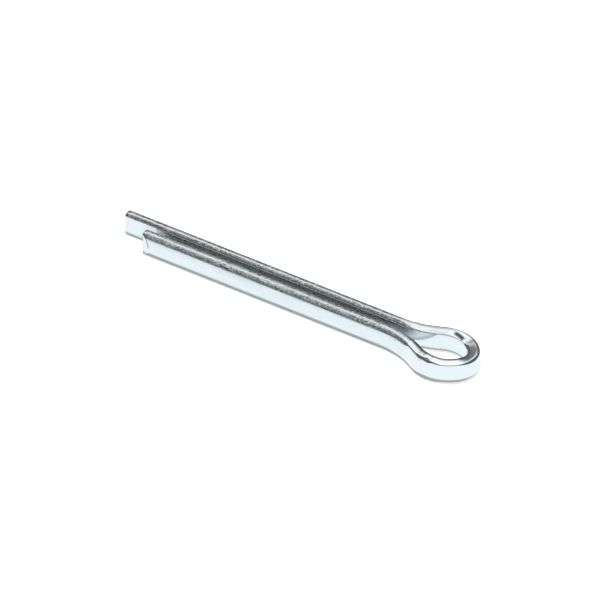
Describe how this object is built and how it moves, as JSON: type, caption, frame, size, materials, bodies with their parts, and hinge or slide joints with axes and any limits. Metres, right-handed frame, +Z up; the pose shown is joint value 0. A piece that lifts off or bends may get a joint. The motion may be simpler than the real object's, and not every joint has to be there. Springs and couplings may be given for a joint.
{
  "type": "cotter pin",
  "caption": "Split cotter pin of zinc-plated half-round wire, with an eye pressed flat, a straight shank of two close legs and an extended prong, lying flat.",
  "frame": {"origin": "centre of the bounding box in plan, at the underside that the pin lies on", "axes": "+X along the legs towards the eye, +Y towards the long leg's side, +Z up, across the wire's flat inner face"},
  "size_m": [0.0452, 0.007, 0.0029],
  "materials": {
    "plated_wire": "bright zinc plating over drawn steel wire, with a fine mottled grain"
  },
  "bodies": {
    "root": {"cotter_pin": "plated_wire"}
  },
  "joints": []
}
